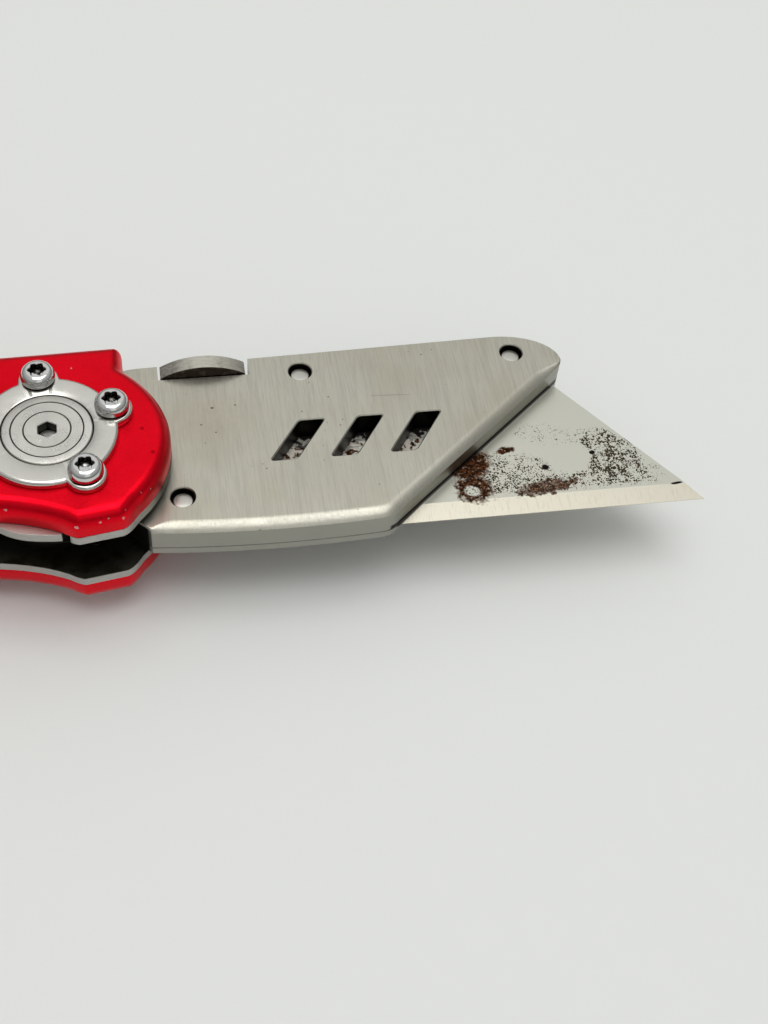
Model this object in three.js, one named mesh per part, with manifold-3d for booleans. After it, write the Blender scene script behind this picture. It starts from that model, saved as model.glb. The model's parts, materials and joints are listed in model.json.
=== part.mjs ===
// Folding quick-change utility knife, lying open on its rear side.
// X runs from the butt to the blade's tip, Y from the cutting edge to the spine, Z through the thickness.
// Plan sizes are laid out from the blade's tip (x = 0, y = 0) and from the handle's middle plane (z = 0).
// The whole model is moved at the end, so that its origin is the bottom centre of its box.
import * as THREE from 'three';
import { mergeVertices } from 'three/addons/utils/BufferGeometryUtils.js';
import Module from 'manifold-3d';

const wasm = await Module();
wasm.setup();

// ---------- driving dimensions, mm ----------
const BLADE = { length: 61, back: 33, height: 19, thickness: 0.6, middle: -1.2, notchX: 36.7, notchPitch: 12.4 };
const PIVOT = { x: -75.2, y: 9.7, barrel: 2.5, bore: 2.6, head: 4.95 };
const HOLDER = { near: 2.2, seam: -1.1, far: -2.2, tang: 8.4 };
const LINER = { inner: 3.15, outer: 4.35 };
const SCALE = { inner: 4.38, outer: 7.55, inset: 0.75, drop: 1.1 };
const BEZEL = { inner: 7.58, outer: 8.55, radius: 7.7, hole: 5.05, lobe: 2.25, screwCircle: 7.6 };
const NOSE_RADIUS = 13.3;
const HANDLE_END = -160;
const FIT = 0.05;
const STOP_PIN = { radius: 1.25, circle: 9.95, angle: 127.5 };
const TANG_SHOULDERS = { open: 119.7, closed: -44.7 };
const TIP_SWEEP = 76.3;
const LOCK_BAR = { root: -112, top: 4.2, slot: 0.8, endAngle: -85.5 };
const LOCK_BOSS = { inner: 5.6, outer: 8.3, from: -83, to: 20, top: 3.05 };
const DETENT = { x: -81.2, y: 2.2, radius: 0.8 };
const WASHER = { outer: 5.2, inner: 2.25, thickness: 0.85 };
const LEVER = {
  far: -1.5, near: -0.1, tabRise: 1.55, tabLeft: -62.4, tabRight: -52.3, tabLow: 21.75, tabHigh: 23.72,
};
const PIN_RADIUS = 1.0;
const PINS = {
  rear_holder_pin: [-61.1, 3.8],
  lever_pin: [-45.7, 21.6],
  front_holder_pin: [-19.3, 22.4],
};
const BEZEL_SCREW_ANGLES = [96.2, 20, -58.5, 201];
const BUTT_SCREWS = [[-154.6, 16.4], [-153.9, 3.6]];
const CLIP_SCREWS = [[-147.4, 10], [-154, 10]];
const SCREW = { shank: 1.15, hole: 1.25, head: 1.93, headHeight: 1.5, socket: 1.0, socketDepth: 0.85 };

const STEEL = { brushed: 0xb9b7ae, polished: 0xd3d3d0, dark: 0x56544e, blade: 0xc9c7bf };
const RED = 0xc8101c;

// ---------- tools for solids ----------
const radians = THREE.MathUtils.degToRad;

function solidOf(geometry) {
  const bare = geometry.clone();
  bare.deleteAttribute('normal');
  bare.deleteAttribute('uv');
  const merged = mergeVertices(bare, 1e-4);
  return new wasm.Manifold(new wasm.Mesh({
    numProp: 3,
    vertProperties: new Float32Array(merged.attributes.position.array),
    triVerts: new Uint32Array(merged.index.array),
  }));
}

function geometryOf(solid) {
  const mesh = solid.getMesh();
  const geometry = new THREE.BufferGeometry();
  geometry.setAttribute('position', new THREE.BufferAttribute(new Float32Array(mesh.vertProperties), 3));
  geometry.setIndex(new THREE.BufferAttribute(new Uint32Array(mesh.triVerts), 1));
  geometry.computeVertexNormals();
  return geometry;
}

function cut(solid, ...tools) {
  return tools.reduce((left, tool) => left.subtract(tool), solid);
}

function join(solid, ...others) {
  return others.reduce((whole, other) => whole.add(other), solid);
}

// the outline as straight steps, without the doubled points where its curves meet
function stepped(shape, curveSegments) {
  const points = shape.getPoints(curveSegments);
  return new THREE.Shape(points.filter((point, i) => point.distanceTo(points.at(i - 1)) > 0.03));
}

// a straight-sided plate of a drawn outline, between two heights
function plate(shape, low, high, curveSegments = 10) {
  const outline = stepped(shape, curveSegments);
  const geometry = new THREE.ExtrudeGeometry(outline, { depth: high - low, bevelEnabled: false });
  return solidOf(geometry.translate(0, 0, low));
}

// a plate lying on `low` whose upper edge rolls over: `inset` inwards and `drop` down, in equal turns
function roundedPlate(shape, low, high, inset, drop, curveSegments = 10) {
  const points = stepped(shape, curveSegments).getPoints();
  const count = points.length;
  const inward = points.map((point, i) => {
    const along = point.clone().sub(points.at(i - 1)).normalize();
    const next = points[(i + 1) % count].clone().sub(point).normalize();
    const bisector = new THREE.Vector2(-along.y - next.y, along.x + next.x);
    return bisector.divideScalar(1 + along.dot(next));
  });
  const turns = 3;
  const rings = [[0, low]];
  for (let turn = 0; turn <= turns; turn += 1) {
    const angle = (turn / turns) * Math.PI / 2;
    rings.push([inset * (1 - Math.cos(angle)), high - drop * (1 - Math.sin(angle))]);
  }
  const vertices = rings.flatMap(([offset, height]) => points.flatMap((point, i) => (
    [point.x + inward[i].x * offset, point.y + inward[i].y * offset, height]
  )));
  const faces = THREE.ShapeUtils.triangulateShape(points, []);
  const roof = (rings.length - 1) * count;
  const index = faces.flatMap(([a, b, c]) => [c, b, a, a + roof, b + roof, c + roof]);
  for (let ring = 0; ring < rings.length - 1; ring += 1) {
    for (let i = 0; i < count; i += 1) {
      const [here, next] = [ring * count + i, ring * count + ((i + 1) % count)];
      index.push(here, next, next + count, here, next + count, here + count);
    }
  }
  const geometry = new THREE.BufferGeometry();
  geometry.setAttribute('position', new THREE.Float32BufferAttribute(vertices, 3));
  geometry.setIndex(index);
  return solidOf(geometry);
}

function cylinder(x, y, radius, low, high, sides = 24) {
  const geometry = new THREE.CylinderGeometry(radius, radius, high - low, sides);
  geometry.rotateX(Math.PI / 2).translate(x, y, (low + high) / 2);
  return solidOf(geometry);
}

function box(x0, x1, y0, y1, z0, z1) {
  const geometry = new THREE.BoxGeometry(x1 - x0, y1 - y0, z1 - z0);
  return solidOf(geometry.translate((x0 + x1) / 2, (y0 + y1) / 2, (z0 + z1) / 2));
}

function lathe(x, y, profile, sides) {
  const points = profile.map(([radius, height]) => new THREE.Vector2(radius, height));
  const geometry = new THREE.LatheGeometry(points, sides);
  geometry.rotateX(Math.PI / 2).translate(x, y, 0);
  return solidOf(geometry);
}

function polygon(points) {
  return new THREE.Shape(points.map(([x, y]) => new THREE.Vector2(x, y)));
}

// a closed outline through [x, y, corner radius] points
function roundedPolygon(points) {
  const shape = new THREE.Shape();
  points.forEach(([x, y, radius], i) => {
    const corner = new THREE.Vector2(x, y);
    const before = new THREE.Vector2(...points.at(i - 1)).sub(corner).setLength(radius);
    const after = new THREE.Vector2(...points[(i + 1) % points.length]).sub(corner).setLength(radius);
    const [start, end] = [corner.clone().add(before), corner.clone().add(after)];
    if (i === 0) shape.moveTo(start.x, start.y);
    else shape.lineTo(start.x, start.y);
    if (radius > 0) shape.quadraticCurveTo(x, y, end.x, end.y);
  });
  return shape;
}

function onCircle(angle, radius, centre = PIVOT) {
  return [centre.x + radius * Math.cos(radians(angle)), centre.y + radius * Math.sin(radians(angle))];
}

// the part of a ring about the pivot between two angles
function ringSector(inner, outer, from, to) {
  const shape = new THREE.Shape();
  shape.absarc(PIVOT.x, PIVOT.y, outer, radians(from), radians(to), false);
  shape.absarc(PIVOT.x, PIVOT.y, inner, radians(to), radians(from), true);
  return shape;
}

// ---------- outlines ----------
// the handle seen from the side: both scales and both liners share it
function handleOutline() {
  const shape = new THREE.Shape();
  shape.moveTo(-72.5, -2.45);
  shape.lineTo(-67.9, -1.75);
  shape.quadraticCurveTo(-67.1, -1.6, -65.96, 0.13);
  shape.absarc(PIVOT.x, PIVOT.y, NOSE_RADIUS, radians(-46), 0, false);
  shape.bezierCurveTo(-61.9, 13.45, -63.89, 16.96, -66.75, 19.45);
  shape.lineTo(-66.7, 22.25);
  shape.quadraticCurveTo(-66.8, 23.05, -67.7, 23.07);
  shape.bezierCurveTo(-78, 22.75, -88, 22.45, -100, 22.4);
  shape.bezierCurveTo(-118, 22.4, -132, 23.4, -146, 23.2);
  shape.bezierCurveTo(-154, 22.8, HANDLE_END, 18, HANDLE_END, 11);
  shape.bezierCurveTo(HANDLE_END, 4, -156, -1.6, -149, -2.5);
  shape.bezierCurveTo(-138, -3.8, -124, -2.6, -112, -0.6);
  shape.bezierCurveTo(-103, 0.9, -92, 1.9, -83, 0.85);
  shape.bezierCurveTo(-79.5, 0.45, -76.5, -0.4, -74.2, -1.6);
  shape.quadraticCurveTo(-73.2, -2.3, -72.5, -2.45);
  return shape;
}

// the blade holder: nose, slanted front, belly, and the round tang between its two shoulders
function holderOutline() {
  const [upperInner, upperOuter] = [HOLDER.tang, 11.6].map((radius) => onCircle(TANG_SHOULDERS.open, radius));
  const shape = new THREE.Shape();
  shape.moveTo(-64.9, -0.5);
  shape.quadraticCurveTo(-52, -1.8, -39.0, -0.95);
  shape.quadraticCurveTo(-37.8, -0.85, -37.0, -0.1);
  shape.lineTo(-14.0, 19.6);
  shape.quadraticCurveTo(-13.3, 20.2, -13.3, 20.9);
  shape.bezierCurveTo(-13.6, 23.4, -16.9, 25.3, -21.2, 25.3);
  shape.lineTo(-65.0, 23.82);
  shape.quadraticCurveTo(-68.5, 23.6, -70.5, 21.6);
  shape.lineTo(...upperOuter);
  shape.lineTo(...upperInner);
  shape.absarc(PIVOT.x, PIVOT.y, HOLDER.tang, radians(TANG_SHOULDERS.open),
    radians(360 + TANG_SHOULDERS.closed), false);
  return shape;
}

// one slanted window in the holder's near side, with its lower left corner at x
function windowOutline(x) {
  const [low, high, width, lean] = [8.1, 13.9, 3.05, 4.0];
  return roundedPolygon([
    [x, low, 0.4], [x + width, low, 0.4], [x + width + lean, high, 0.4], [x + lean, high, 0.4],
  ]);
}

// a standard trapezoid blade with two notches in its back
function bladeOutline() {
  const slant = (BLADE.length - BLADE.back) / 2;
  const top = BLADE.height;
  const [half, depth] = [1.6, 1.5];
  const notch = (centre) => [
    [centre + half, top, 0.1], [centre + half - 0.2, top - depth, 0.4],
    [centre - half + 0.2, top - depth, 0.4], [centre - half, top, 0.1],
  ];
  return roundedPolygon([
    [0, 0, 0.05], [-slant, top, 0.2],
    ...notch(-BLADE.notchX + BLADE.notchPitch), ...notch(-BLADE.notchX),
    [slant - BLADE.length, top, 0.2], [-BLADE.length, 0, 0.05],
  ]);
}

// the room that the blade slides in, open past the holder's nose
function bladeRoom(low, high) {
  const slant = (BLADE.length - BLADE.back) / 2;
  const [gap, open] = [0.15, 8];
  const shape = polygon([
    [-BLADE.length - 0.3, -gap], [open, -gap], [open, BLADE.height + gap],
    [slant - BLADE.length - 0.3, BLADE.height + gap],
  ]);
  return plate(shape, low, high);
}

// the flat rocking arm of the release lever; its tooth faces the blade's back
function leverOutline() {
  return roundedPolygon([
    [LEVER.tabLeft, LEVER.tabLow, 0.1], [-55.5, LEVER.tabLow, 0.6], [-52.9, 20.5, 0.6], [-48.2, 19.7, 1.2],
    [-43.2, 19.8, 1], [-38.3, 20.5, 0.5], [-37.2, 19.3, 0.1], [-35.6, 19.3, 0.1],
    [-35.2, 21.6, 0.5], [-37.2, 22.0, 0.8], [-44.6, 23.1, 0.8], [-47.6, 23.0, 0.8],
    [-50.6, 22.3, 0.6], [LEVER.tabRight, 22.5, 0.2], [LEVER.tabRight, LEVER.tabHigh, 0.1],
    [LEVER.tabLeft, LEVER.tabHigh, 0.1],
  ]);
}

// the room that the lever rocks in, deeper where its tooth drops into the blade's notch
function leverRoom(low, high) {
  const shape = polygon([
    [-56.4, 22.2], [-53.2, 20.1], [-48.2, 19.25], [-39.2, 19.15], [-38.4, 17.6], [-35.2, 17.6],
    [-34.8, 19.1], [-34.8, 23.4], [-51.8, 23.4],
  ]);
  return plate(shape, low, high);
}

// the notch in the spine for the thumb tab
function tabNotch(low, high) {
  return box(-62.7, -51.8, LEVER.tabLow - 0.12, 27, low, high);
}

function bezelSolid(low, high) {
  const ring = cylinder(PIVOT.x, PIVOT.y, BEZEL.radius, low, high, 40);
  const lobes = BEZEL_SCREW_ANGLES.map((angle) => (
    cylinder(...onCircle(angle, BEZEL.screwCircle), BEZEL.lobe, low, high, 18)
  ));
  const holes = BEZEL_SCREW_ANGLES.map((angle) => (
    cylinder(...onCircle(angle, BEZEL.screwCircle), SCREW.hole, low - 1, high + 1, 12)
  ));
  const middle = cylinder(PIVOT.x, PIVOT.y, BEZEL.hole, low - 1, high + 1, 36);
  return cut(join(ring, ...lobes), middle, ...holes);
}

// ---------- sub-parts: drawn on the near side (+Z); `flip` gives the rear one ----------
function flip(solid) {
  return solid.mirror([0, 0, 1]);
}

const screwPlaces = [
  ...BEZEL_SCREW_ANGLES.map((angle) => onCircle(angle, BEZEL.screwCircle)),
  ...BUTT_SCREWS,
];

function screwHoles(low, high) {
  return screwPlaces.map(([x, y]) => cylinder(x, y, SCREW.hole, low, high, 12));
}

function scale(extraHoles = []) {
  const body = roundedPlate(handleOutline(), SCALE.inner, SCALE.outer, SCALE.inset, SCALE.drop, 7);
  const collar = cylinder(PIVOT.x, PIVOT.y, BEZEL.hole + FIT, 0, 12, 36);
  return cut(body, collar, ...screwHoles(0, 12), ...extraHoles);
}

const stopPinPlace = onCircle(STOP_PIN.angle, STOP_PIN.circle);

function liner(extraHoles = []) {
  const body = plate(handleOutline(), LINER.inner, LINER.outer, 7);
  const pivotHole = cylinder(PIVOT.x, PIVOT.y, PIVOT.bore, 0, 12, 24);
  const pinHole = cylinder(...stopPinPlace, STOP_PIN.radius + FIT, 0, 12, 20);
  return cut(body, pivotHole, pinHole, ...screwHoles(0, 12), ...extraHoles);
}

// the strip of the near liner that springs in behind the tang; `grow` widens it by the slot round it
function lockBarRegion(grow) {
  const [endX, endY] = onCircle(LOCK_BAR.endAngle, 20);
  const [tipX, tipY] = onCircle(LOCK_BAR.endAngle, PIVOT.y - LOCK_BAR.top);
  const shape = polygon([
    [LOCK_BAR.root - grow / 4, -8], [endX + grow, endY], [tipX + grow, tipY],
    [tipX + grow, LOCK_BAR.top + grow], [LOCK_BAR.root - grow / 4, LOCK_BAR.top + grow],
  ]);
  return plate(shape, LINER.inner - 1, LINER.outer + 1);
}

// the thumb tab: a low bump on the lock bar's lower edge, behind its free end
function lockBarTab() {
  const [endX, endY] = onCircle(LOCK_BAR.endAngle, 11.3);
  const shape = new THREE.Shape();
  shape.moveTo(endX, endY + 2);
  shape.lineTo(-82.5, 2);
  shape.lineTo(-82, 0.8);
  shape.bezierCurveTo(-80.4, -0.45, -79.4, -1.15, -77.2, -1.5);
  shape.quadraticCurveTo(-75.6, -1.75, endX, -1.75);
  return plate(shape, LINER.inner, LINER.outer, 8);
}

function lockBar() {
  const bar = plate(handleOutline(), LINER.inner, LINER.outer, 7).intersect(lockBarRegion(0));
  const seat = cylinder(DETENT.x, DETENT.y, DETENT.radius + FIT, 0, 12, 20);
  return cut(join(bar, lockBarTab()), seat);
}

function detentBall() {
  const geometry = new THREE.SphereGeometry(DETENT.radius, 12, 8);
  return solidOf(geometry.translate(DETENT.x, DETENT.y, LINER.outer - DETENT.radius - FIT));
}

// it runs along the spine and round the butt, outside the path of the blade's tip
function backSpacer() {
  const half = LINER.inner - FIT;
  const shape = new THREE.Shape();
  shape.moveTo(-100, 20.95);
  shape.lineTo(-100.6, 22.2);
  shape.bezierCurveTo(-118, 22.1, -132, 23.0, -146, 22.8);
  shape.bezierCurveTo(-153.8, 22.4, HANDLE_END + 0.4, 17.8, HANDLE_END + 0.4, 11);
  shape.bezierCurveTo(HANDLE_END + 0.4, 4.3, -156.2, -0.9, ...onCircle(188.8, TIP_SWEEP));
  shape.absarc(PIVOT.x, PIVOT.y, TIP_SWEEP, radians(188.8), radians(171.5), true);
  const holes = BUTT_SCREWS.map(([x, y]) => cylinder(x, y, SCREW.hole, -5, 5, 12));
  return cut(plate(shape, -half, half, 9), ...holes);
}

function stopPin() {
  return cylinder(...stopPinPlace, STOP_PIN.radius, FIT - LINER.outer, LINER.outer - FIT, 20);
}

function washer() {
  const outer = cylinder(PIVOT.x, PIVOT.y, WASHER.outer, WASHER.inner, WASHER.inner + WASHER.thickness, 32);
  return cut(outer, cylinder(PIVOT.x, PIVOT.y, PIVOT.bore, 0, 12, 24));
}

// the pivot's big flat head, which fills the bezel's hole
function pivotHead() {
  const [foot, top] = [LINER.outer + FIT, BEZEL.outer];
  return [[PIVOT.head, foot], [PIVOT.head, top - 0.15], [PIVOT.head - 0.15, top], [0, top]];
}

function hexSocket(depth) {
  const acrossFlats = 2.0;
  return cylinder(PIVOT.x, PIVOT.y, acrossFlats / Math.sqrt(3), BEZEL.outer - depth, BEZEL.outer + 1, 6);
}

function pivotBolt() {
  const end = -LINER.outer - FIT;
  const body = lathe(PIVOT.x, PIVOT.y, [
    [0, end], [PIVOT.barrel, end], [PIVOT.barrel, LINER.outer + FIT], ...pivotHead(),
  ], 36);
  const thread = cylinder(PIVOT.x, PIVOT.y, 1.6, end - 1, -1.3, 20);
  return cut(body, hexSocket(1.3), thread);
}

function pivotNut() {
  const stub = 1.5;
  const body = lathe(PIVOT.x, PIVOT.y, [
    [0, 1.5], [stub, 1.5], [stub, LINER.outer + FIT], ...pivotHead(),
  ], 36);
  return flip(cut(body, hexSocket(1.3)));
}

// a button-head screw standing on `seat`, with its shank reaching down to `end`
function screw([x, y], seat, end) {
  const { shank, head, headHeight, socket, socketDepth } = SCREW;
  const top = seat + headHeight;
  const profile = [
    [0, end], [shank, end], [shank, seat], [head, seat], [head, seat + 0.35],
    [head - 0.4, seat + 1.1], [socket, top], [socket, top - socketDepth], [0, top - socketDepth],
  ];
  return lathe(x, y, profile, 14);
}

function pinHoles(radius, low, high) {
  return Object.values(PINS).map(([x, y]) => cylinder(x, y, radius, low, high, 20));
}

function holderBody() {
  const body = plate(holderOutline(), HOLDER.seam, HOLDER.near, 9);
  const boss = plate(ringSector(LOCK_BOSS.inner, LOCK_BOSS.outer, LOCK_BOSS.from, LOCK_BOSS.to),
    HOLDER.near - 0.5, LOCK_BOSS.top, 8);
  const pitch = 7.0;
  const windows = [0, 1, 2].map((i) => plate(windowOutline(-50.75 + i * pitch), -5, 5, 4));
  const [ballX, ballY] = [2 * PIVOT.x - DETENT.x, 2 * PIVOT.y - DETENT.y];
  return cut(
    join(body, boss), ...windows,
    cylinder(PIVOT.x, PIVOT.y, PIVOT.bore, -5, 5, 24),
    cylinder(ballX, ballY, DETENT.radius + 0.15, HOLDER.near - 0.7, 5, 16),
    ...pinHoles(PIN_RADIUS + FIT, -5, 5),
    ...pinHoles(1.4, HOLDER.near - 1.0, 5),
    bladeRoom(HOLDER.seam - 1, BLADE.middle + 0.35),
    leverRoom(HOLDER.seam - 1, LEVER.near + 0.1),
    tabNotch(-5, 5),
  );
}

function holderCover() {
  const top = HOLDER.seam - 0.03;
  const floor = BLADE.middle - 0.35;
  return cut(
    plate(holderOutline(), HOLDER.far, top, 9),
    cylinder(PIVOT.x, PIVOT.y, PIVOT.bore, -5, 5, 24),
    ...pinHoles(PIN_RADIUS + FIT, -5, 5),
    bladeRoom(floor, 0),
    leverRoom(floor, 0),
    tabNotch(floor, 0),
  );
}

function holderPin(x, y) {
  return cylinder(x, y, PIN_RADIUS, HOLDER.far, HOLDER.near - 0.9, 20);
}

// the thumb tab stands across the spine notch, and its rounded rim rises past the holder's near side
function leverTab() {
  const [left, right] = [LEVER.tabLeft, LEVER.tabRight];
  const half = (right - left) / 2;
  const radius = (half * half + LEVER.tabRise * LEVER.tabRise) / (2 * LEVER.tabRise);
  const sweep = Math.asin(half / radius);
  const shape = new THREE.Shape();
  shape.moveTo(left, LEVER.far);
  shape.lineTo(right, LEVER.far);
  shape.absarc((left + right) / 2, HOLDER.near + LEVER.tabRise - radius, radius,
    Math.PI / 2 - sweep, Math.PI / 2 + sweep, false);
  const depth = LEVER.tabHigh - LEVER.tabLow;
  const geometry = new THREE.ExtrudeGeometry(shape, { depth, bevelEnabled: false, curveSegments: 14 });
  geometry.rotateX(Math.PI / 2).translate(0, LEVER.tabHigh, 0);
  return solidOf(geometry);
}

function releaseLever() {
  const arm = plate(leverOutline(), LEVER.far, LEVER.near, 4);
  return cut(join(arm, leverTab()), cylinder(...PINS.lever_pin, PIN_RADIUS + 0.1, -5, 5, 20));
}

// a bowed strip between the lever's arm and the roof of its room
function leverSpring() {
  const bow = new THREE.QuadraticBezierCurve3(
    new THREE.Vector3(-42.6, 23.2, 0), new THREE.Vector3(-39.0, 21.9, 0), new THREE.Vector3(-35.5, 23.2, 0),
  );
  const [thick, wide] = [0.12, 0.45];
  const section = polygon([[-wide, -thick], [wide, -thick], [wide, thick], [-wide, thick]]);
  const geometry = new THREE.ExtrudeGeometry(section, { steps: 10, extrudePath: bow, bevelEnabled: false });
  return solidOf(geometry.translate(0, 0, (LEVER.far + LEVER.near) / 2));
}

// the cutting edge is ground from both faces along the whole long side
function blade() {
  const { length, middle, thickness } = BLADE;
  const flat = plate(bladeOutline(), middle - thickness / 2, middle + thickness / 2, 4);
  const [grind, root, edge] = [2.4, thickness / 2, 0.04];
  const section = polygon([[-1, edge], [0, edge], [grind, root + 0.001], [grind, 1], [-1, 1]]);
  const wedge = new THREE.ExtrudeGeometry(section, { depth: length + 4, bevelEnabled: false });
  wedge.applyMatrix4(new THREE.Matrix4().set(0, 0, 1, -length - 2, 1, 0, 0, 0, 0, 1, 0, 0, 0, 0, 0, 1));
  const nearWedge = solidOf(wedge);
  return cut(flat, nearWedge.translate([0, 0, middle]), nearWedge.mirror([0, 0, 1]).translate([0, 0, middle]));
}

// a bent spring clip under the rear scale: screwed plate, joggle, long arm and turned-out lip
function pocketClip() {
  const foot = -SCALE.outer - FIT;
  const thick = 1.0;
  const line = [[-157.6, foot], [-143.6, foot], [-139.5, -9.9], [-137, -9.95], [-104, -8.25], [-97.5, -9.6]];
  const back = [[-97.9, -9.6 - thick], [-103.9, -8.25 - thick], [-136.8, -9.95 - thick],
    [-140.2, -9.9 - thick], [-144.1, foot - thick], [-157.6, foot - thick]];
  const shape = polygon([...line, ...back]);
  const [low, high] = [5.6, 14.4];
  const geometry = new THREE.ExtrudeGeometry(shape, { depth: high - low, bevelEnabled: false });
  geometry.rotateX(Math.PI / 2).translate(0, high, 0);
  const holes = CLIP_SCREWS.map(([x, y]) => cylinder(x, y, SCREW.hole, -12, 0, 12));
  return cut(solidOf(geometry), ...holes);
}

// ---------- the assembly ----------
const knife = new THREE.Group();

function part(name, solid, color, roughness, metalness) {
  const material = new THREE.MeshStandardMaterial({ color, roughness, metalness });
  const mesh = new THREE.Mesh(geometryOf(solid), material);
  mesh.name = name;
  knife.add(mesh);
}

const clipHoles = CLIP_SCREWS.map(([x, y]) => cylinder(x, y, SCREW.hole, 0, 12, 12));

part('front_scale', scale(), RED, 0.35, 0.75);
part('rear_scale', flip(scale(clipHoles)), RED, 0.35, 0.75);
part('front_liner', liner([lockBarRegion(LOCK_BAR.slot)]), STEEL.brushed, 0.45, 1);
part('rear_liner', flip(liner(clipHoles)), STEEL.brushed, 0.45, 1);
part('lock_bar', lockBar(), STEEL.brushed, 0.45, 1);
part('detent_ball', detentBall(), STEEL.polished, 0.2, 1);
part('back_spacer', backSpacer(), STEEL.dark, 0.5, 1);
part('stop_pin', stopPin(), STEEL.polished, 0.3, 1);
part('front_washer', washer(), 0x171717, 0.6, 0);
part('rear_washer', flip(washer()), 0x171717, 0.6, 0);
part('pivot_bolt', pivotBolt(), STEEL.polished, 0.25, 1);
part('pivot_nut', pivotNut(), STEEL.polished, 0.25, 1);
part('front_bezel', bezelSolid(BEZEL.inner, BEZEL.outer), STEEL.polished, 0.22, 1);
part('rear_bezel', flip(bezelSolid(BEZEL.inner, BEZEL.outer)), STEEL.polished, 0.22, 1);
part('holder_body', holderBody(), STEEL.brushed, 0.38, 1);
part('holder_cover', holderCover(), STEEL.brushed, 0.38, 1);
for (const [name, place] of Object.entries(PINS)) {
  part(name, holderPin(...place), STEEL.polished, 0.3, 1);
}
part('release_lever', releaseLever(), STEEL.brushed, 0.45, 1);
part('lever_spring', leverSpring(), STEEL.polished, 0.3, 1);
part('blade', blade(), STEEL.blade, 0.3, 1);
part('pocket_clip', pocketClip(), STEEL.dark, 0.4, 1);

BEZEL_SCREW_ANGLES.forEach((angle, i) => {
  const place = onCircle(angle, BEZEL.screwCircle);
  part(`front_bezel_screw_${i + 1}`, screw(place, BEZEL.outer + 0.03, LINER.inner + 0.1), STEEL.polished, 0.2, 1);
  part(`rear_bezel_screw_${i + 1}`, flip(screw(place, BEZEL.outer + 0.03, LINER.inner + 0.1)),
    STEEL.polished, 0.2, 1);
});
BUTT_SCREWS.forEach((place, i) => {
  part(`front_butt_screw_${i + 1}`, screw(place, SCALE.outer + 0.03, 0.6), STEEL.polished, 0.2, 1);
  part(`rear_butt_screw_${i + 1}`, flip(screw(place, SCALE.outer + 0.03, 0.6)), STEEL.polished, 0.2, 1);
});
CLIP_SCREWS.forEach((place, i) => {
  part(`clip_screw_${i + 1}`, flip(screw(place, SCALE.outer + FIT + 1.3, LINER.inner + 0.1)),
    STEEL.polished, 0.2, 1);
});

const bounds = new THREE.Box3().setFromObject(knife);
const middle = bounds.getCenter(new THREE.Vector3());
knife.position.set(-middle.x, -middle.y, -bounds.min.z);

export default knife;
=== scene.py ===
# The looks of a folding utility knife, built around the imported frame.
#
# Lengths are millimetres in the plan of the design: x = 0, y = 0 is the blade's tip, +X runs to the tip,
# +Y to the spine, and z = 0 is the handle's middle plane. Angles round the pivot are in degrees from +X.
# TO_ROW carries that plan into the row frame, in metres.

import json
import math

import bmesh
import bpy
from mathutils import Matrix, Vector
from mathutils.kdtree import KDTree

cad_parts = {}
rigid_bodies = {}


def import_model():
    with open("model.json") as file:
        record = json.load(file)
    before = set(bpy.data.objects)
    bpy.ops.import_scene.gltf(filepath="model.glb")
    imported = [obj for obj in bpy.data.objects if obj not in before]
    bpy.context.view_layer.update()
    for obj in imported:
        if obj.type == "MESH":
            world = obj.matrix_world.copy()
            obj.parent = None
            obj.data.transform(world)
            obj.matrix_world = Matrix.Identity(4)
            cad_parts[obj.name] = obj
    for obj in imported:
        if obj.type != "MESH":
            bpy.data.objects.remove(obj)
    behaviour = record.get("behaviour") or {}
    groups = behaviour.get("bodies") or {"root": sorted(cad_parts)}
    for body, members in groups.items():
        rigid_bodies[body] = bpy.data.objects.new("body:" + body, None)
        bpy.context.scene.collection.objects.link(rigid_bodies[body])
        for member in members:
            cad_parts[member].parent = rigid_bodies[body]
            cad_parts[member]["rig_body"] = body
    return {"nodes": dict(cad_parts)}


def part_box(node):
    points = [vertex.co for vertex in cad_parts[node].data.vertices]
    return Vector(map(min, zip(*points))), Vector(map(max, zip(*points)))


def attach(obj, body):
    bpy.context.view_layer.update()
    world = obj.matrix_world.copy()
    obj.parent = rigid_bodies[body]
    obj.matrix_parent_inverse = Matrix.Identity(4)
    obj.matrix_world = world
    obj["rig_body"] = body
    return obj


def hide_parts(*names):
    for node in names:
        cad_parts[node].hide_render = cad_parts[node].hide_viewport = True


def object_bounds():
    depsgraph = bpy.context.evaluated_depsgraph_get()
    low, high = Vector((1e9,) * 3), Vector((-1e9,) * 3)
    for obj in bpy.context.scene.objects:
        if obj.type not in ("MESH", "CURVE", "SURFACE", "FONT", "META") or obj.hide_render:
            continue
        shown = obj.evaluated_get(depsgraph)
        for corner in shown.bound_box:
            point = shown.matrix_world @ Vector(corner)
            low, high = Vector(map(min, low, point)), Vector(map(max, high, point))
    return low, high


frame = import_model()
cad_low, cad_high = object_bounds()

# ---------- the plan, placed by the frame ----------
MM = 0.001
PIVOT = (-75.2, 9.7)
pivot_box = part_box("pivot_bolt")
ORIGIN = Vector((
    (pivot_box[0].x + pivot_box[1].x) / 2 - PIVOT[0] * MM,
    (pivot_box[0].y + pivot_box[1].y) / 2 - PIVOT[1] * MM,
    (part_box("front_bezel")[1].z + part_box("rear_bezel")[0].z) / 2,
))
TO_ROW = Matrix.Translation(ORIGIN) @ Matrix.Scale(MM, 4)
TO_PLAN = TO_ROW.inverted()
BODY_OF = {name: node["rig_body"] for name, node in frame["nodes"].items()}


def plan_box(node):
    """A CAD node's lowest and highest corner, in the plan."""
    low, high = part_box(node)
    return TO_PLAN @ low, TO_PLAN @ high


def plan_middle(node):
    """The middle of a CAD node's box, in the plan, as x and y."""
    low, high = plan_box(node)
    return (low.x + high.x) / 2, (low.y + high.y) / 2


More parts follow.
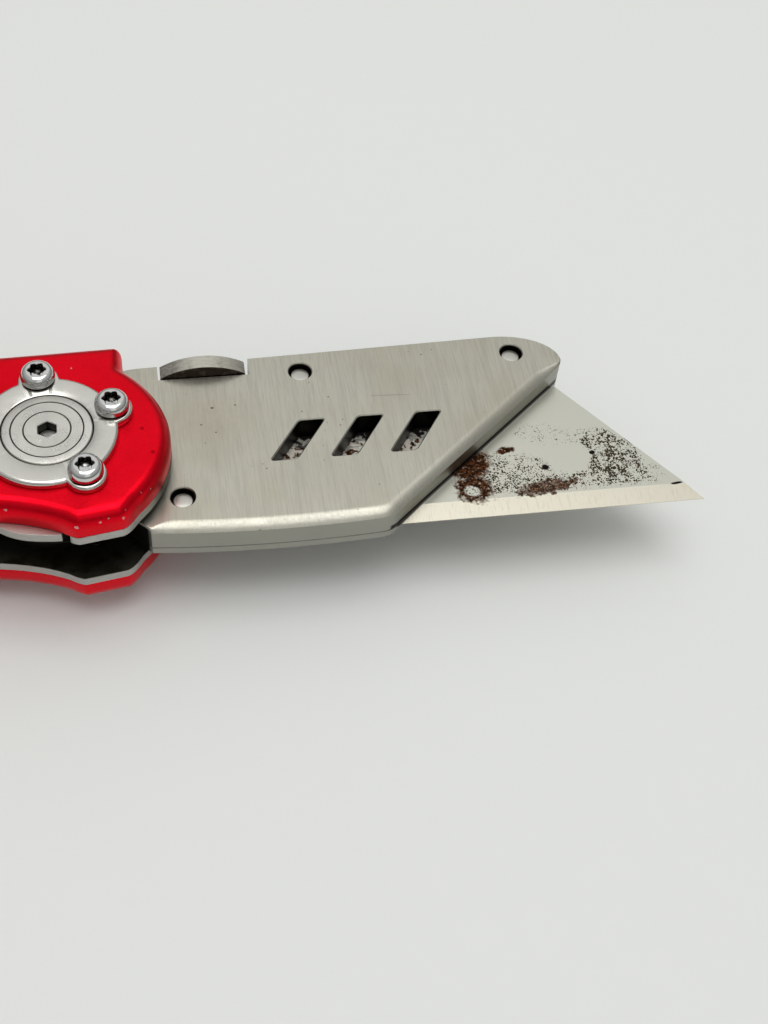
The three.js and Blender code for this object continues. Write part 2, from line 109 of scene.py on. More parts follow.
# ---------- sizes, mm ----------
# handle scales: the rolled edge, the collar hole, and the round nose
SCALE_INSET, SCALE_DROP, COLLAR_RADIUS, NOSE_RADIUS = 1.5, 1.9, 5.1, 13.3
# screws and their sockets
SHANK, SCREW_HOLE, SCREW_HEAD, SCREW_FOOT, SCREW_CROWN = 1.15, 1.25, 1.93, 1.62, 1.16
HEAD_HEIGHT, SOCKET_RADIUS, SOCKET_STAR, SOCKET_DEPTH = 1.5, 0.93, 0.11, 0.85
# bezels
BEZEL_RADIUS, BEZEL_HOLE, BEZEL_EDGE = 7.7, 5.05, 0.42
LOBE_RADIUS, LOBE_CIRCLE, LOBE_BLEND = 2.25, 7.6, 0.5
# pivot bolt and nut
BARREL, NUT_BARREL, BARREL_HOLE, BARREL_FLOOR, BORE = 2.5, 1.5, 1.6, -1.3, 2.6
PIVOT_HEAD, PIVOT_RIM, NUT_FOOT, HEX_FLATS, HEX_DEPTH = 4.95, 0.18, 4.4, 2.0, 1.3
TURNED_RINGS, GROOVE, GROOVE_FLOOR, GROOVE_DEPTH = (2.57, 3.95), 0.09, 0.03, 0.1
# holder: its tang, its rounded and eased edges, its boss, its windows and the dimple for the detent ball
TANG_RADIUS, TANG_OPEN, TANG_CLOSED, SHOULDER_RADIUS = 8.4, 119.7, -44.7, 11.6
HOLDER_FACE, EDGE_WIDTH, EDGE_DROP, EASED = 2.2, 1.5, 0.62, 0.12
BOSS_OUTER, BOSS_INNER, BOSS_START, BOSS_END = 8.3, 5.6, -83, 20
WINDOWS, WINDOW_X, WINDOW_PITCH, WINDOW_CORNER = 3, -50.75, 7.0, 0.5
WINDOW_LOW, WINDOW_HIGH, WINDOW_WIDTH, WINDOW_LEAN = 8.1, 13.9, 3.05, 4.0
DIMPLE_RADIUS, DIMPLE_DEPTH = 0.95, 0.7
# holder pins and their holes
PIN_NAMES = ("rear_holder_pin", "lever_pin", "front_holder_pin")
PIN_RADIUS, PIN_FIT, COUNTERBORE, COUNTERBORE_DEPTH = 1.0, 0.05, 1.4, 1.0
PIN_HEAD, PIN_HEAD_TOP = 1.12, 1.5
# blade, and the room for it in the holder
BLADE_LENGTH, BLADE_BACK, BLADE_HEIGHT, BLADE_GRIND = 61, 33, 19, 2.4
BLADE_GAP, BLADE_END_GAP, BLADE_ROOM_TOP, BLADE_ROOM_FLOOR = 0.15, 0.3, -0.85, -1.55
# the notch at the spine for the lever's tab
TAB_LEFT, TAB_RIGHT, TAB_LOW, TAB_NOTCH, PAST_SPINE = -62.7, -51.8, 21.75, 0.12, 27
# how far cutting tools reach: through the holder, and from the middle plane out through a scale
THROUGH, OUTWARDS = (-5, 5), (0, 12)
# a small broken corner on a hidden edge
BROKEN = 0.1


# ---------- outlines ----------
class Outline:
    """A closed outline drawn with straight, curved and round stretches, in steps of about `step`."""

    curve_steps, same_point = 7, 0.03

    def __init__(self, x, y, step=0.5):
        self.points = [Vector((x, y))]
        self.step = step

    def follow(self, place, length, fewest=1):
        count = max(fewest, math.ceil(length / self.step))
        self.points += [place(i / count) for i in range(1, count + 1)]

    def line(self, x, y):
        start, end = self.points[-1], Vector((x, y))
        self.follow(lambda t: start.lerp(end, t), (end - start).length)

    def quad(self, cx, cy, x, y):
        start, mid, end = self.points[-1], Vector((cx, cy)), Vector((x, y))
        length = (end - start).length
        self.follow(lambda t: start.lerp(mid, t).lerp(mid.lerp(end, t), t), length, self.curve_steps)

    def cubic(self, ax, ay, bx, by, x, y):
        p, a, b, end = self.points[-1], Vector((ax, ay)), Vector((bx, by)), Vector((x, y))

        def place(t):
            first, second, third = p.lerp(a, t), a.lerp(b, t), b.lerp(end, t)
            return first.lerp(second, t).lerp(second.lerp(third, t), t)

        self.follow(place, (end - p).length, self.curve_steps)

    def arc(self, radius, start, end, centre=PIVOT):
        self.follow(
            lambda t: Vector(on_circle(start + (end - start) * t, radius, centre)),
            abs(math.radians(end - start)) * radius,
        )

    def closed(self):
        points = self.points
        return [p for i, p in enumerate(points) if (p - points[i - 1]).length > self.same_point]


def on_circle(angle, radius, centre=PIVOT):
    turn = math.radians(angle)
    return centre[0] + radius * math.cos(turn), centre[1] + radius * math.sin(turn)


def ramp(value, low, high):
    """A smooth step from 0 at low to 1 at high."""
    t = min(1, max(0, (value - low) / (high - low)))
    return t * t * (3 - 2 * t)


def handle_outline():
    end, nose_start = -160, -46
    shape = Outline(-72.5, -2.45)
    shape.line(-67.9, -1.75)
    shape.quad(-67.1, -1.6, *on_circle(nose_start, NOSE_RADIUS))
    shape.arc(NOSE_RADIUS, nose_start, 0)
    shape.cubic(-61.9, 13.45, -63.89, 16.96, -66.75, 19.45)
    shape.line(-66.7, 22.25)
    shape.quad(-66.8, 23.05, -67.7, 23.07)
    shape.cubic(-78, 22.75, -88, 22.45, -100, 22.4)
    shape.cubic(-118, 22.4, -132, 23.4, -146, 23.2)
    shape.cubic(-154, 22.8, end, 18, end, 11)
    shape.cubic(end, 4, -156, -1.6, -149, -2.5)
    shape.cubic(-138, -3.8, -124, -2.6, -112, -0.6)
    shape.cubic(-103, 0.9, -92, 1.9, -83, 0.85)
    shape.cubic(-79.5, 0.45, -76.5, -0.4, -74.2, -1.6)
    shape.quad(-73.2, -2.3, -72.5, -2.45)
    return shape.closed()


def holder_outline():
    shape = Outline(-64.9, -0.5)
    shape.quad(-52, -1.8, -39.0, -0.95)
    shape.quad(-37.8, -0.85, -37.0, -0.1)
    shape.line(-14.0, 19.6)
    shape.quad(-13.3, 20.2, -13.3, 20.9)
    shape.cubic(-13.6, 23.4, -16.9, 25.3, -21.2, 25.3)
    shape.line(-65.0, 23.82)
    shape.quad(-68.5, 23.6, -70.5, 21.6)
    shape.line(*on_circle(TANG_OPEN, SHOULDER_RADIUS))
    shape.line(*on_circle(TANG_OPEN, TANG_RADIUS))
    shape.arc(TANG_RADIUS, TANG_OPEN, 360 + TANG_CLOSED)
    shape.line(-64.9, -0.5)
    return shape.closed()


def rounded_polygon(corners, radius, steps=5):
    """Points round a polygon whose corners are rounded with short curves."""
    points = []
    for i, corner in enumerate(corners):
        here = Vector(corner)
        before, after = Vector(corners[i - 1]) - here, Vector(corners[(i + 1) % len(corners)]) - here
        start, end = here + before.normalized() * radius, here + after.normalized() * radius
        for step in range(steps + 1):
            share = step / steps
            points.append(start.lerp(here, share).lerp(here.lerp(end, share), share))
    return points


def window_outline(x):
    right, lean = x + WINDOW_WIDTH, WINDOW_LEAN
    corners = [(x, WINDOW_LOW), (right, WINDOW_LOW), (right + lean, WINDOW_HIGH), (x + lean, WINDOW_HIGH)]
    return rounded_polygon(corners, WINDOW_CORNER)


def inset(points, amounts):
    """The outline moved inwards at each point by its own amount, along the bisector of its two sides."""
    moved, sharpest = [], 0.35
    for i, point in enumerate(points):
        along = (point - points[i - 1]).normalized()
        onward = (points[(i + 1) % len(points)] - point).normalized()
        bisector = Vector((-along.y - onward.y, along.x + onward.x)) / max(sharpest, 1 + along.dot(onward))
        moved.append(point + bisector * amounts[i])
    return moved


def shrunk(points, width):
    """The outline moved inwards by a width; what would cross in a tight corner folds onto its neighbours."""
    if width <= 0:
        return points
    count, between, near_enough = len(points), 5, 0.97
    wall = KDTree(count * between)
    for i, point in enumerate(points):
        for part in range(between):
            on_wall = point.lerp(points[(i + 1) % count], part / between)
            wall.insert(on_wall.to_3d(), i * between + part)
    wall.balance()
    moved = inset(points, [width] * count)
    sound = [i for i, p in enumerate(moved) if wall.find(p.to_3d())[2] > near_enough * width]
    folded = []
    for i in range(count):
        nearest = min(sound, key=lambda j: min((i - j) % count, (j - i) % count))
        folded.append(moved[nearest])
    return folded


# ---------- solids, in the plan ----------
def solid(vertices, faces):
    """A closed mesh with its doubled points merged and its many-sided faces cut into triangles."""
    mesh = bpy.data.meshes.new("solid")
    mesh.from_pydata(vertices, [], faces)
    work = bmesh.new()
    work.from_mesh(mesh)
    bmesh.ops.remove_doubles(work, verts=work.verts, dist=0.005)
    bmesh.ops.dissolve_degenerate(work, edges=work.edges, dist=0.002)
    bmesh.ops.triangulate(work, faces=[face for face in work.faces if len(face.verts) > 4])
    bmesh.ops.recalc_face_normals(work, faces=work.faces)
    work.to_mesh(mesh)
    work.free()
    return mesh


def lofted(loops, ring=False):
    """A solid through loops of points: capped at both ends, or closed on itself where it is a ring."""
    count = len(loops[0])
    vertices = [tuple(point) for loop in loops for point in loop]
    spans = len(loops) if ring else len(loops) - 1
    faces = []
    for row in range(spans):
        base, above = row * count, ((row + 1) % len(loops)) * count
        for i in range(count):
            after = (i + 1) % count
            faces.append((base + i, base + after, above + after, above + i))
    if not ring:
        faces += [tuple(range(count))[::-1], tuple((len(loops) - 1) * count + i for i in range(count))]
    return solid(vertices, faces)


def plate(points, rings):
    """A plate of an outline through rings of (amount inwards, height): one number, or one for each point."""
    loops = []
    for amount, height in rings:
        amounts = amount if isinstance(amount, list) else [amount] * len(points)
        heights = height if isinstance(height, list) else [height] * len(points)
        loops.append([(p.x, p.y, z) for p, z in zip(inset(points, amounts), heights)])
    return lofted(loops)


def rolled(width, drop, high, turns=7):
    """The rings of an edge that rolls over: from the wall, up and inwards, to the top face."""
    angles = [turn / turns * math.pi / 2 for turn in range(turns + 1)]
    return [(width * (1 - math.cos(a)), high - drop * (1 - math.sin(a))) for a in angles]


def turned(centre, profile, count=72, ring=False):
    """A solid round a centre through (radius, height) pairs, where a radius may depend on the angle."""
    loops = []
    for radius, height in profile:
        loop = []
        for i in range(count):
            angle = 360 * i / count
            reach = radius(angle) if callable(radius) else radius
            loop.append((*on_circle(angle, reach, centre), height))
        loops.append(loop)
    return lofted(loops, ring)


def box(x0, x1, y0, y1, z0, z1):
    corners = [Vector((x0, y0)), Vector((x1, y0)), Vector((x1, y1)), Vector((x0, y1))]
    return plate(corners, [(0, z0), (0, z1)])


def prism(corners, low, high):
    return plate([Vector(c) for c in corners], [(0, low), (0, high)])


def bore(centre, radius, low, high, count=48):
    return turned(centre, [(radius, low), (radius, high)], count)


def flared(points, low, high, chamfer):
    """A cutter for a hole with a small chamfer at its mouth, which is at `high`."""
    past = high + 1
    return plate(points, [(0, low), (0, high - chamfer), (-chamfer, high), (-chamfer, past)])


def combined(mesh, tools, operation="DIFFERENCE"):
    """mesh with each tool's solid taken away from it, or joined to it."""
    body = bpy.data.objects.new("work", mesh)
    objects = [bpy.data.objects.new("tool", tool) for tool in tools]
    for thing in [body, *objects]:
        bpy.context.scene.collection.objects.link(thing)
    for tool in objects:
        step = body.modifiers.new("step", "BOOLEAN")
        step.operation, step.solver, step.object = operation, "EXACT", tool
    bpy.context.view_layer.update()
    result = bpy.data.meshes.new_from_object(body.evaluated_get(bpy.context.evaluated_depsgraph_get()))
    for thing in [body, *objects]:
        bpy.data.objects.remove(thing)
    return result


def mirrored(mesh):
    """The same solid on the other side of the handle's middle plane."""
    mesh.transform(Matrix.Diagonal((1, 1, -1, 1)))
    mesh.flip_normals()
    return mesh


# ---------- pieces ----------
def cleaned(mesh, sharp_angle):
    """Merges doubled points, drops collapsed edges, and marks the edges that stay sharp."""
    work = bmesh.new()
    work.from_mesh(mesh)
    bmesh.ops.remove_doubles(work, verts=work.verts, dist=0.002)
    bmesh.ops.dissolve_degenerate(work, edges=work.edges, dist=0.001)
    bmesh.ops.recalc_face_normals(work, faces=work.faces)
    for face in work.faces:
        face.smooth = True
    for edge in work.edges:
        edge.smooth = len(edge.link_faces) == 2 and edge.calc_face_angle() < math.radians(sharp_angle)
    work.to_mesh(mesh)
    work.free()


def piece(node, mesh, material, bevel=0.0, sharp_angle=32):
    """Shows a finer mesh in place of a CAD node, on the same body, with the material it is given."""
    cleaned(mesh, sharp_angle)
    mesh.transform(TO_ROW)
    mesh.materials.clear()
    mesh.materials.append(material)
    thing = bpy.data.objects.new(f"{node}_fine", mesh)
    bpy.context.scene.collection.objects.link(thing)
    if bevel:
        softened = thing.modifiers.new("edges", "BEVEL")
        softened.width, softened.segments = bevel * MM, 3
        softened.limit_method, softened.angle_limit = "ANGLE", math.radians(sharp_angle)
        softened.harden_normals = True
    weighted = thing.modifiers.new("normals", "WEIGHTED_NORMAL")
    weighted.keep_sharp = True
    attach(thing, BODY_OF[node])
    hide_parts(node)
    return thing


def fine_copy(node, material, bevel):
    """A CAD node's own shape with its flat faces joined and its edges softened."""
    mesh = frame["nodes"][node].data.copy()
    if "custom_normal" in mesh.attributes:
        mesh.attributes.remove(mesh.attributes["custom_normal"])
    mesh.transform(TO_PLAN)
    work = bmesh.new()
    work.from_mesh(mesh)
    bmesh.ops.remove_doubles(work, verts=work.verts, dist=0.002)
    bmesh.ops.dissolve_limit(work, angle_limit=math.radians(0.4), verts=work.verts, edges=work.edges)
    work.to_mesh(mesh)
    work.free()
    return piece(node, mesh, material, bevel)


# ---------- materials ----------
class Paint:
    """A node material whose patterns are laid out in the plan's millimetres."""

    def __init__(self, name, color, **constants):
        self.material = bpy.data.materials.new(name)
        self.material.use_nodes = True
        self.tree = self.material.node_tree
        self.shader = self.tree.nodes["Principled BSDF"]
        self.color = (*color, 1)
        for socket, value in constants.items():
            self.shader.inputs[socket.replace("_", " ")].default_value = value
        coordinates = self.tree.nodes.new("ShaderNodeTexCoord").outputs["Object"]
        place = self.tree.nodes.new("ShaderNodeVectorMath")
        place.operation = "MULTIPLY_ADD"
        self.tree.links.new(coordinates, place.inputs[0])
        place.inputs[1].default_value = (1 / MM,) * 3
        place.inputs[2].default_value = -ORIGIN / MM
        self.place = place.outputs[0]
        parts = self.tree.nodes.new("ShaderNodeSeparateXYZ")
        self.tree.links.new(self.place, parts.inputs[0])
        self.x, self.y, self.z = parts.outputs

    def feed(self, socket, value):
        if isinstance(value, bpy.types.NodeSocket):
            self.tree.links.new(value, socket)
        else:
            socket.default_value = value

    def math(self, operation, a, b=0.0, clamp=False):
        node = self.tree.nodes.new("ShaderNodeMath")
        node.operation, node.use_clamp = operation, clamp
        self.feed(node.inputs[0], a)
        self.feed(node.inputs[1], b)
        return node.outputs[0]

    def scaled(self, stretch=(1, 1, 1), shift=(0, 0, 0)):
        node = self.tree.nodes.new("ShaderNodeVectorMath")
        node.operation = "MULTIPLY_ADD"
        self.tree.links.new(self.place, node.inputs[0])
        node.inputs[1].default_value, node.inputs[2].default_value = stretch, shift
        return node.outputs[0]

    def noise(self, per_mm, detail=2.0, stretch=(1, 1, 1), shift=(0, 0, 0)):
        node = self.tree.nodes.new("ShaderNodeTexNoise")
        self.tree.links.new(self.scaled(stretch, shift), node.inputs["Vector"])
        node.inputs["Scale"].default_value, node.inputs["Detail"].default_value = per_mm, detail
        return node.outputs[0]

    def dots(self, per_mm, stretch=(1, 1, 1), shift=(0, 0, 0)):
        """Distance to the nearest of many scattered points, in cells."""
        node = self.tree.nodes.new("ShaderNodeTexVoronoi")
        self.tree.links.new(self.scaled(stretch, shift), node.inputs["Vector"])
        node.inputs["Scale"].default_value = per_mm
        return node.outputs["Distance"]

    def soft(self, value, low, high, out_low=0.0, out_high=1.0):
        """value from low to high, as a smooth step from out_low to out_high."""
        node = self.tree.nodes.new("ShaderNodeMapRange")
        node.interpolation_type = "SMOOTHSTEP"
        self.feed(node.inputs["Value"], value)
        for name, number in zip(("From Min", "From Max", "To Min", "To Max"), (low, high, out_low, out_high)):
            node.inputs[name].default_value = number
        return node.outputs[0]

    def band(self, value, low, high, blur):
        """1 where value is between low and high."""
        return self.math("MULTIPLY", self.soft(value, low - blur, low + blur),
                         self.soft(value, high - blur, high + blur, 1.0, 0.0))

    def reach(self, x, y, rx, ry, angle=0.0):
        """Distance from an ellipse's centre, 1 on its rim."""
        turn = math.radians(angle)
        dx, dy = self.math("SUBTRACT", self.x, x), self.math("SUBTRACT", self.y, y)
        along = self.math("ADD", self.math("MULTIPLY", dx, math.cos(turn) / rx),
                          self.math("MULTIPLY", dy, math.sin(turn) / rx))
        across = self.math("ADD", self.math("MULTIPLY", dx, -math.sin(turn) / ry),
                           self.math("MULTIPLY", dy, math.cos(turn) / ry))
        return self.math("SQRT", self.math("ADD", self.math("MULTIPLY", along, along),
                                           self.math("MULTIPLY", across, across)))

    def spot(self, x, y, rx, ry, angle=0.0, ragged=0.0, blur=0.25):
        """1 inside an ellipse, with a ragged rim."""
        distance = self.reach(x, y, rx, ry, angle)
        if ragged:
            wobble = self.math("MULTIPLY", self.math("SUBTRACT", self.noise(1.6, 5), 0.5), ragged)
            distance = self.math("ADD", distance, wobble)
        return self.soft(distance, 1 - blur, 1 + blur, 1.0, 0.0)

    def ball(self, x, y, z, size):
        """1 within a ragged ball round a point."""
        node = self.tree.nodes.new("ShaderNodeVectorMath")
        node.operation = "DISTANCE"
        self.tree.links.new(self.place, node.inputs[0])
        node.inputs[1].default_value = (x, y, z)
        ragged = self.math("ADD", node.outputs["Value"], self.soft(self.noise(5, 3), 0.2, 0.8, -0.12, 0.14))
        return self.soft(ragged, size * 0.8, size * 1.1, 1.0, 0.0)

    def most(self, *masks):
        whole = masks[0]
        for mask in masks[1:]:
            whole = self.math("MAXIMUM", whole, mask)
        return whole

    def tint(self, mask, color):
        """Lays another colour over the base colour, by a mask."""
        node = self.tree.nodes.new("ShaderNodeMix")
        node.data_type = "RGBA"
        self.feed(node.inputs[0], mask)
        self.feed(node.inputs[6], self.color)
        node.inputs[7].default_value = (*color, 1)
        self.color = node.outputs[2]

    def bump(self, height, depth):
        """depth is how far the surface moves, in millimetres."""
        node = self.tree.nodes.new("ShaderNodeBump")
        node.inputs["Distance"].default_value = depth * MM
        self.feed(node.inputs["Height"], height)
        if self.shader.inputs["Normal"].is_linked:
            self.tree.links.new(self.shader.inputs["Normal"].links[0].from_socket, node.inputs["Normal"])
        self.tree.links.new(node.outputs[0], self.shader.inputs["Normal"])

    def done(self, roughness=None, metallic=None):
        self.feed(self.shader.inputs["Base Color"], self.color)
        if roughness is not None:
            self.feed(self.shader.inputs["Roughness"], roughness)
        if metallic is not None:
            self.feed(self.shader.inputs["Metallic"], metallic)
        return self.material


def red_paint():
    """Satin anodised aluminium, with small chips down to bare metal along its lower edge."""
    paint = Paint("anodised_red", (0.80, 0.004, 0.016), Metallic=1.0)
    paint.tint(paint.soft(paint.noise(0.16, 3), 0.35, 0.75, 0.0, 0.45), (0.66, 0.002, 0.010))
    paint.tint(paint.soft(paint.noise(3.2, 3), 0.45, 0.75, 0.0, 0.25), (0.50, 0.001, 0.006))
    paint.tint(paint.soft(paint.noise(9.0, 1), 0.40, 0.70, 0.0, 0.20), (0.48, 0.001, 0.006))
    stains = ((-64.97, 9.7, 0.22), (-63.99, 6.2, 0.25))
    for x, y, size in stains:
        paint.tint(paint.math("MULTIPLY", paint.spot(x, y, size, size, 0, 0.8), 0.6), (0.22, 0.0, 0.004))
    chips = (
        (-72.6, -2.36, 6.2, 0.20), (-70.1, -1.95, 6.3, 0.12), (-69.2, -1.75, 6.6, 0.09),
        (-67.7, -1.55, 6.2, 0.15), (-67.3, -1.1, 6.9, 0.10), (-65.6, 1.2, 6.9, 0.11),
        (-79.9, 0.6, 6.5, 0.16), (-72.4, 19.5, 7.55, 0.10), (-84.0, 1.1, 6.2, 0.12), (-64.6, 2.0, 6.4, 0.10),
    )
    chipped = paint.most(*[paint.ball(*chip) for chip in chips])
    paint.tint(chipped, (0.60, 0.33, 0.32))
    paint.bump(paint.noise(5.5, 3), 0.006)
    return paint.done(roughness=paint.soft(paint.noise(0.5, 3), 0.3, 0.7, 0.31, 0.40))


def steel_paint(name, color, rough, grain_axis="y", grain=0.30, specks=0.0, smudge=0.2, depth=0.004):
    """Brushed steel: fine scratches along one axis, soft smudges, and sometimes small dark specks."""
    paint = Paint(name, color, Metallic=1.0)
    stretch = (1, 0.045, 1) if grain_axis == "y" else (0.045, 1, 1)
    scratch = paint.noise(7.0, 3, stretch)
    wide = paint.noise(1.6, 2, stretch, (7, 3, 0))
    dark = tuple(0.62 * c for c in color)
    paint.tint(paint.soft(scratch, 0.42, 0.72, 0.0, grain), dark)
    paint.tint(paint.soft(wide, 0.45, 0.8, 0.0, grain * 0.8), dark)
    warm = (color[0] * 0.80, color[1] * 0.75, color[2] * 0.66)
    paint.tint(paint.soft(paint.noise(0.12, 4), 0.4, 0.75, 0.0, smudge), warm)
    if specks:
        gate = paint.soft(paint.noise(0.22, 2, shift=(4, 9, 0)), 0.52, 0.62)
        dotted = paint.math("MULTIPLY", paint.soft(paint.dots(0.85), 0.07, 0.12, specks, 0.0), gate)
        paint.tint(dotted, (0.05, 0.03, 0.02))
    paint.bump(scratch, depth)
    roughness = paint.math("ADD", paint.soft(scratch, 0.3, 0.7, rough - 0.05, rough + 0.07),
                           paint.soft(paint.noise(0.2, 3), 0.3, 0.7, -0.03, 0.04))
    return paint, roughness


def holder_paint(pins):
    """Brushed steel with a few brown marks, painted shade on its rounded edges, darker side walls, and
    painted shade in its openings.
    """
    color = (0.50, 0.485, 0.415)
    paint, roughness = steel_paint("holder_steel", color, 0.36, grain=0.4, specks=0.6, smudge=0.4)
    marks = ((-56.7, 16.7, 0.2), (-54.0, 16.9, 0.14), (-58.2, 14.2, 0.14), (-56.6, 12.9, 0.13))
    for x, y, size in marks:
        paint.tint(paint.spot(x, y, size, size * 0.8, 0, 0.7), (0.10, 0.06, 0.04))
    brown = paint.math("MULTIPLY", paint.spot(-57.5, 15.5, 5.0, 3.6, 0, 0.9, 0.6), paint.noise(1.4, 4))
    paint.tint(paint.math("MULTIPLY", brown, 0.6), (0.40, 0.34, 0.26))
    scratch = paint.spot(-35.4, 16.77, 2.6, 0.045, -3, 0.5)
    paint.tint(paint.math("MULTIPLY", scratch, 0.55), (0.12, 0.10, 0.08))
    paint.tint(paint.ball(-53.0, -1.4, 1.45, 0.3), (0.03, 0.025, 0.02))
    # painted shade on the rounded edges, mottled
    mottled = paint.soft(paint.noise(9.0, 2), 0.3, 0.7, 0.15, 0.6)
    rounded = paint.math("MULTIPLY", paint.soft(paint.z, 2.12, 2.18, 1.0, 0.0), mottled)
    paint.tint(rounded, (0.36, 0.35, 0.31))
    # the side walls below the rounded edge are darker
    side_walls = paint.soft(paint.z, 1.50, 1.56, 1.0, 0.0)
    paint.tint(side_walls, (0.335, 0.33, 0.29))
    seam = paint.math("MULTIPLY", paint.band(paint.z, -1.2, -1.02, 0.04), 0.6)
    paint.tint(seam, (0.08, 0.075, 0.065))
    # painted shade: the gap beside the blade's slot, down in the windows, in the pin wells and on the walls
    # round the pivot
    slot = paint.math("MULTIPLY", paint.band(paint.z, -1.2, -0.42, 0.06), paint.soft(paint.x, -38.2, -37.8))
    below = paint.soft(paint.z, 1.96, 2.06, 1.0, 0.0)
    leaning = paint.math("SUBTRACT", paint.x, paint.math("MULTIPLY", paint.y, 0.69))
    tall = paint.band(paint.y, 7.4, 14.6, 0.1)
    windows = paint.math("MULTIPLY", paint.band(leaning, -58, -38.9, 0.1), tall)
    rim = COUNTERBORE + 0.06
    wells = [paint.soft(paint.reach(*at, 1, 1), rim, rim + 0.1, 1.0, 0.0) for at in pins]
    tang = paint.soft(paint.reach(*PIVOT, 1, 1), 13.9, 14.3, 1.0, 0.0)
    painted_shade = paint.math("MULTIPLY", paint.most(windows, *wells, tang, slot), below)
    paint.tint(painted_shade, (0.012, 0.011, 0.009))
    return paint.done(roughness=roughness)


def plain_steel(name, color, rough, **options):
    paint, roughness = steel_paint(name, color, rough, **options)
    return paint.done(roughness=roughness)


def lever_paint():
    """A rough ground rim with painted shade on its left end, darker on the face toward the user."""
    paint, roughness = steel_paint("lever_steel", (0.56, 0.54, 0.47), 0.40, grain_axis="x", grain=0.5)
    ragged = paint.soft(paint.noise(3, 4), 0.3, 0.6)
    # painted shade on the rim's left end, with a ragged edge
    left_end_shade = paint.math("MULTIPLY", paint.soft(paint.x, -60.6, -60.2, 1.0, 0.0), ragged)
    paint.tint(paint.math("MULTIPLY", left_end_shade, 0.65), (0.22, 0.21, 0.19))
    paint.tint(paint.soft(paint.noise(1.1, 4, shift=(2, 5, 0)), 0.5, 0.7, 0.0, 0.5), (0.28, 0.26, 0.22))
    # the face toward the user is near black, in blotches
    front = paint.soft(paint.y, TAB_LOW + 0.03, TAB_LOW + 0.13, 1.0, 0.0)
    blotches = paint.soft(paint.noise(1.2, 4), 0.2, 0.55, 0.8, 1.0)
    paint.tint(paint.math("MULTIPLY", front, blotches), (0.035, 0.025, 0.02))
    return paint.done(roughness=roughness)


def liner_paint():
    """Matt liner steel with greenish-brown painted shade on its inner faces and beside the nose."""
    color = (0.46, 0.455, 0.43)
    paint, roughness = steel_paint("liner_steel", color, 0.42, grain_axis="x", grain=0.25, depth=0.003)
    # painted shade, greenish brown and blotchy, on the inner faces and in the gap beside the nose
    inner = paint.soft(paint.math("ABSOLUTE", paint.z), 3.2, 3.3, 1.0, 0.0)
    nose = paint.math("MULTIPLY", paint.soft(paint.x, -67, -65.5), paint.band(paint.y, 2.4, 18, 1.2))
    blotches = paint.soft(paint.noise(0.45, 5), 0.42, 0.62, 0.85, 1.0)
    paint.tint(paint.math("MULTIPLY", paint.most(inner, nose), blotches), (0.050, 0.046, 0.022))
    return paint.done(roughness=roughness)


def polished_paint(name, color, rough, shaded_sockets=(), shaded_below=0.0):
    """Polished steel with faint handling marks, and painted shade down in the screws' sockets and round the
    feet of their heads.
    """
    paint = Paint(name, color, Metallic=1.0)
    paint.tint(paint.soft(paint.noise(0.7, 4), 0.45, 0.75, 0.0, 0.25), tuple(c * 0.8 for c in color))
    if shaded_sockets:
        reaches = [paint.reach(*at, 1, 1) for at in shaded_sockets]
        nearest = reaches[0]
        for reach in reaches[1:]:
            nearest = paint.math("MINIMUM", nearest, reach)
        # painted shade on the sockets' walls and round the foot of each head
        height = paint.math("ABSOLUTE", paint.z)
        outside = paint.soft(nearest, 0.55, 0.75)
        wall = paint.math("MULTIPLY", outside, paint.soft(nearest, 1.08, 1.12, 1.0, 0.0))
        sunk = paint.soft(height, shaded_below - 0.12, shaded_below - 0.04, 1.0, 0.0)
        socket = paint.math("MULTIPLY", wall, sunk)
        seat = shaded_below - HEAD_HEIGHT
        foot = paint.soft(height, seat + 0.12, seat + 0.34, 1.0, 0.0)
        paint.tint(paint.most(socket, foot), (0.02, 0.018, 0.015))
    paint.bump(paint.noise(0.35, 2), 0.006)
    return paint.done(roughness=paint.soft(paint.noise(0.8, 4), 0.3, 0.7, rough, rough + 0.1))


def pivot_paint():
    """Steel turned on a lathe: fine rings round the pivot's axis, and painted shade in its grooves and
    hexagon socket.
    """
    color = (0.60, 0.59, 0.545)
    paint = Paint("pivot_steel", color, Metallic=1.0, Anisotropic=0.75)
    radius = paint.reach(*PIVOT, 1, 1)
    wave = paint.math("SINE", paint.math("MULTIPLY", radius, 42.0))
    paint.tint(paint.soft(wave, -0.4, 1.0, 0.0, 0.25), tuple(c * 0.7 for c in color))
    paint.bump(wave, 0.004)
    # painted shade down in the turned grooves
    for ring in TURNED_RINGS:
        paint.tint(paint.band(radius, ring - 0.07, ring + 0.07, 0.03), tuple(c * 0.12 for c in color))
    # painted shade on the hexagon socket's walls
    wall = paint.math("MULTIPLY", paint.soft(radius, 1.17, 1.2, 1.0, 0.0), paint.soft(radius, 0.9, 1.0))
    sunk = paint.soft(paint.math("ABSOLUTE", paint.z), 8.40, 8.50, 1.0, 0.0)
    paint.tint(paint.math("MULTIPLY", wall, sunk), (0.03, 0.03, 0.025))
    tangent = paint.tree.nodes.new("ShaderNodeTangent")
    tangent.direction_type, tangent.axis = "RADIAL", "Z"
    paint.tree.links.new(tangent.outputs[0], paint.shader.inputs["Tangent"])
    return paint.done(roughness=paint.soft(paint.noise(0.8, 4), 0.3, 0.7, 0.26, 0.34))


